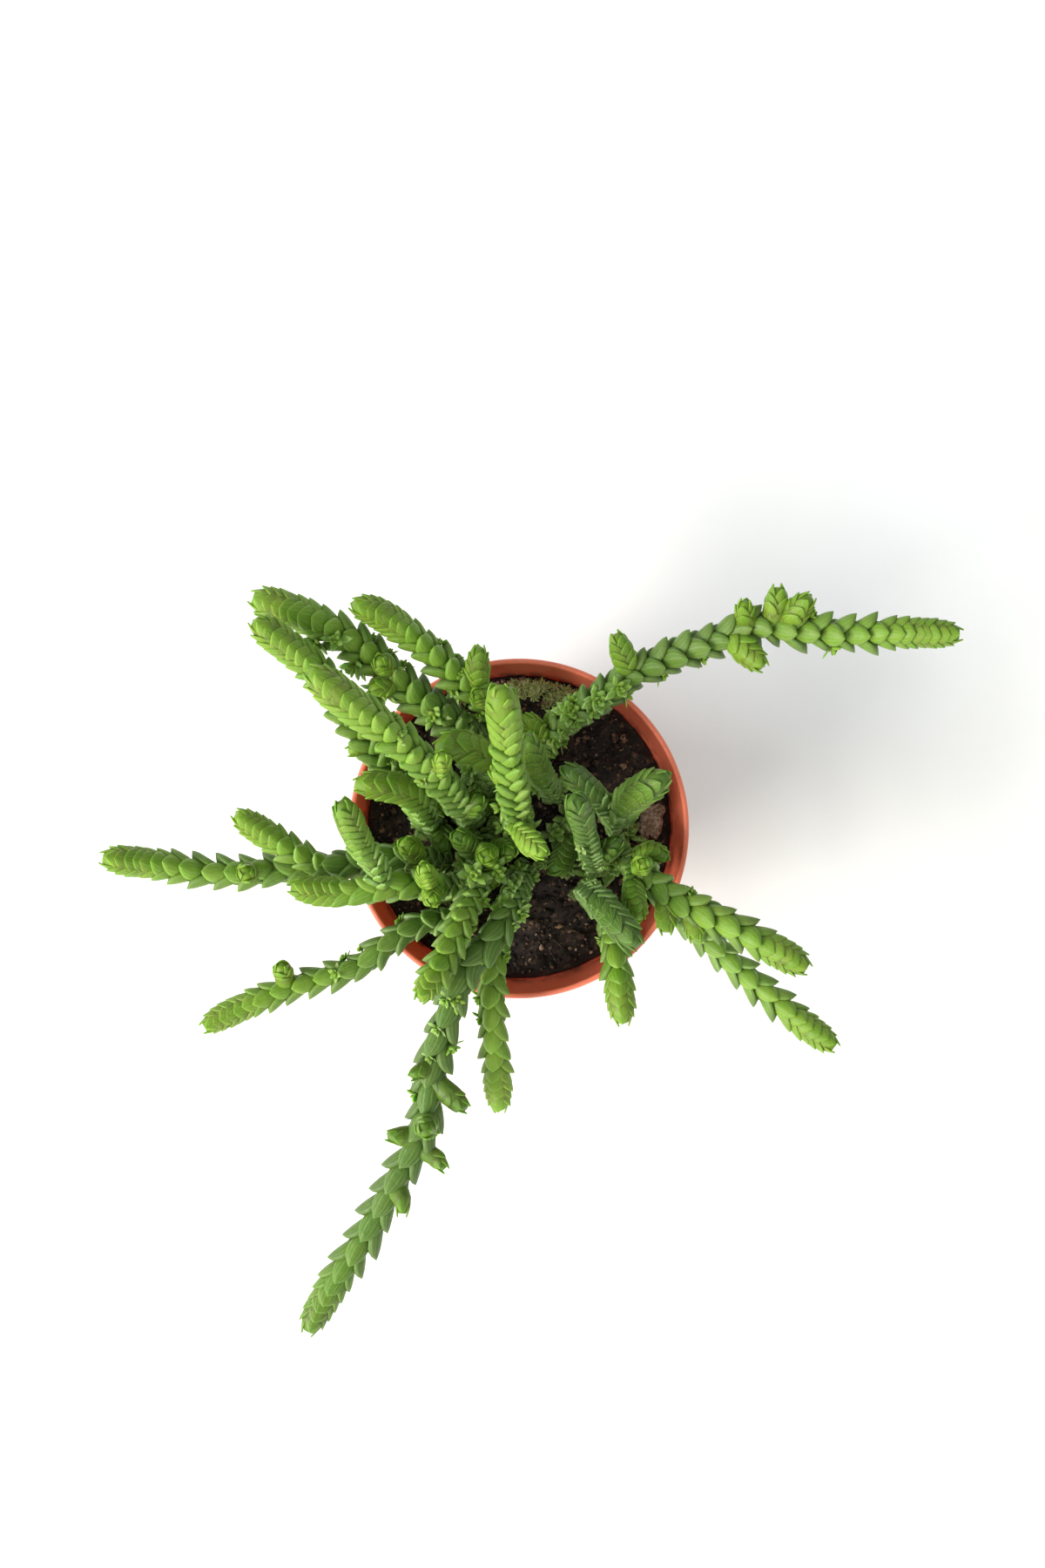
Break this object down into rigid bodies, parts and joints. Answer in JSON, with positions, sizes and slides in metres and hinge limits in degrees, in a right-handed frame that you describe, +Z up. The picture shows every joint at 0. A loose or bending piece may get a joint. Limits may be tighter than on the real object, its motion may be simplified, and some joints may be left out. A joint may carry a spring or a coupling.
{
  "type": "potted watch chain plant",
  "caption": "Small succulent in a round plastic nursery pot, with scaly cord-like stems that sprawl over the rim in all directions.",
  "frame": {"origin": "on the pot's axis at the underside of its base", "axes": "+Z up along the pot's axis; +X to the right and +Y to the top of the view from straight above"},
  "size_m": [0.1305, 0.117, 0.085],
  "materials": {
    "pot": "satin",
    "soil": "matte",
    "leaf": "satin"
  },
  "bodies": {
    "root": {"pot": "pot", "soil": "soil", "stem_left_long": "leaf", "stem_left_low": "leaf", "stem_lower_left": "leaf", "stem_front_long": "leaf", "stem_front_short": "leaf", "stem_front_right": "leaf", "stem_right_leaning": "leaf", "stem_right_upright": "leaf", "stem_right_short": "leaf", "stem_lower_right": "leaf", "stem_right_long": "leaf", "stem_centre_tall": "leaf", "stem_centre_low": "leaf", "stem_upper_left_low": "leaf", "stem_upper_left_middle": "leaf", "stem_upper_left_high": "leaf", "stem_upper_left_back": "leaf", "stem_left_stub": "leaf", "stem_centre_arched": "leaf", "stem_front_high": "leaf", "stem_right_hidden": "leaf"}
  },
  "joints": []
}
